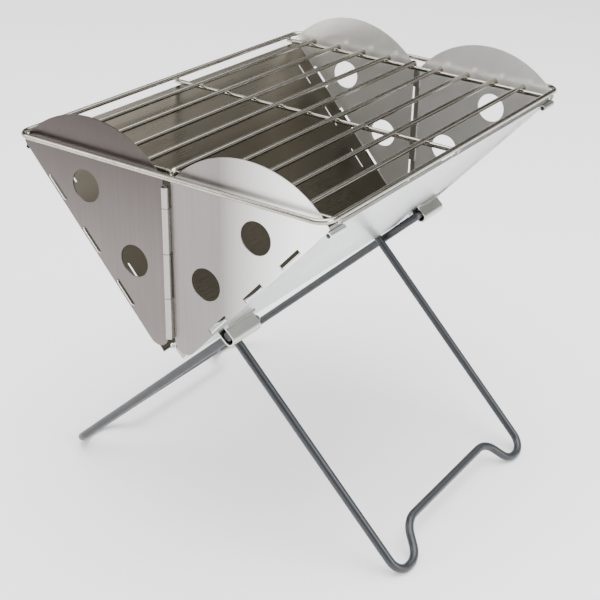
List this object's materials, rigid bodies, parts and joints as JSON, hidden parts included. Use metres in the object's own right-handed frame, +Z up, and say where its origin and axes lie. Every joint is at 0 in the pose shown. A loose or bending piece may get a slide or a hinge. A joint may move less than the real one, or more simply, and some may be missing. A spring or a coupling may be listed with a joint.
{
  "type": "folding camp grill",
  "caption": "Flat-folding camp grill: a V-shaped sheet-steel fire trough with hinged arched ends, crossed wire legs and a lift-off wire grate.",
  "frame": {"origin": "on the ground, under the middle of the trough", "axes": "+Z up, +Y along the trough and its bottom hinge, +X across it to the right"},
  "size_m": [0.2283, 0.241, 0.2332],
  "materials": {
    "side_sheet": "brushed stainless sheet",
    "end_sheet": "fine brushed stainless sheet",
    "bracket_steel": "satin pressed stainless",
    "pin_steel": "drawn steel wire",
    "leg_wire": "satin charcoal coating",
    "grate_wire": "polished steel wire"
  },
  "bodies": {
    "bottom_hinge": {"bottom_hinge_pin": "pin_steel"},
    "left_panel": {"left_side_panel": "side_sheet", "left_near_leg_bracket": "bracket_steel", "left_far_leg_bracket": "bracket_steel"},
    "left_leg": {"left_leg": "leg_wire"},
    "right_panel": {"right_side_panel": "side_sheet", "right_near_leg_bracket": "bracket_steel", "right_far_leg_bracket": "bracket_steel"},
    "right_leg": {"right_leg": "leg_wire"},
    "near_hinge": {"near_hinge_pin": "pin_steel"},
    "near_left_end": {"near_left_end_panel": "end_sheet"},
    "near_right_end": {"near_right_end_panel": "end_sheet"},
    "far_hinge": {"far_hinge_pin": "pin_steel"},
    "far_left_end": {"far_left_end_panel": "end_sheet"},
    "far_right_end": {"far_right_end_panel": "end_sheet"},
    "grate": {"grate_frame": "grate_wire", "grate_rod_1": "grate_wire", "grate_rod_2": "grate_wire", "grate_rod_3": "grate_wire", "grate_rod_4": "grate_wire", "grate_rod_5": "grate_wire", "grate_rod_6": "grate_wire", "grate_rod_7": "grate_wire", "grate_rod_8": "grate_wire", "grate_rod_9": "grate_wire", "near_cross_wire": "grate_wire", "middle_cross_wire": "grate_wire", "far_cross_wire": "grate_wire"}
  },
  "joints": [
    {"name": "panel_fold", "type": "hinge", "parent": "bottom_hinge", "child": "right_panel", "pos_m": [0, 0, 0.12594], "axis": [0, -1, 0], "range_deg": [0, 41.6]},
    {"name": "left_panel_fold", "type": "hinge", "parent": "bottom_hinge", "child": "left_panel", "pos_m": [0, 0, 0.12594], "axis": [0, 1, 0], "range_deg": [0, 41.6]},
    {"name": "near_hinge_tilt", "type": "hinge", "parent": "bottom_hinge", "child": "near_hinge", "pos_m": [0, -0.1136, 0.11804], "axis": [-1, 0, 0], "range_deg": [0, 41.6]},
    {"name": "near_left_end_fold", "type": "hinge", "parent": "near_hinge", "child": "near_left_end", "pos_m": [0, -0.1166, 0.12594], "axis": [0, 0, 1], "range_deg": [0, 90]},
    {"name": "near_right_end_fold", "type": "hinge", "parent": "near_hinge", "child": "near_right_end", "pos_m": [0, -0.1166, 0.12594], "axis": [0, 0, -1], "range_deg": [0, 90]},
    {"name": "far_hinge_tilt", "type": "hinge", "parent": "bottom_hinge", "child": "far_hinge", "pos_m": [0, 0.1136, 0.11804], "axis": [1, 0, 0], "range_deg": [0, 41.6]},
    {"name": "far_left_end_fold", "type": "hinge", "parent": "far_hinge", "child": "far_left_end", "pos_m": [0, 0.1166, 0.12594], "axis": [0, 0, -1], "range_deg": [0, 90]},
    {"name": "far_right_end_fold", "type": "hinge", "parent": "far_hinge", "child": "far_right_end", "pos_m": [0, 0.1166, 0.12594], "axis": [0, 0, 1], "range_deg": [0, 90]},
    {"name": "grate_lift", "type": "slide", "parent": "bottom_hinge", "child": "grate", "axis": [0, 0, 1], "range_m": [0, 0.32]},
    {"name": "leg_fold", "type": "hinge", "parent": "right_panel", "child": "right_leg", "pos_m": [0.0202, 0, 0.13007], "axis": [0, -1, 0], "range_deg": [0, 174.8]},
    {"name": "left_leg_fold", "type": "hinge", "parent": "left_panel", "child": "left_leg", "pos_m": [-0.01978, 0, 0.13044], "axis": [0, 1, 0], "range_deg": [0, 176.72]}
  ],
  "couplings": [
    {"joint": "left_panel_fold", "follows": "panel_fold", "ratio": 1},
    {"joint": "near_hinge_tilt", "follows": "panel_fold", "ratio": 1},
    {"joint": "near_left_end_fold", "follows": "panel_fold", "ratio": 2.1634},
    {"joint": "near_right_end_fold", "follows": "panel_fold", "ratio": 2.1634},
    {"joint": "far_hinge_tilt", "follows": "panel_fold", "ratio": 1},
    {"joint": "far_left_end_fold", "follows": "panel_fold", "ratio": 2.1634},
    {"joint": "far_right_end_fold", "follows": "panel_fold", "ratio": 2.1634},
    {"joint": "grate_lift", "follows": "panel_fold", "m_per_rad": 0.44064},
    {"joint": "left_leg_fold", "follows": "leg_fold", "ratio": 1.011}
  ]
}
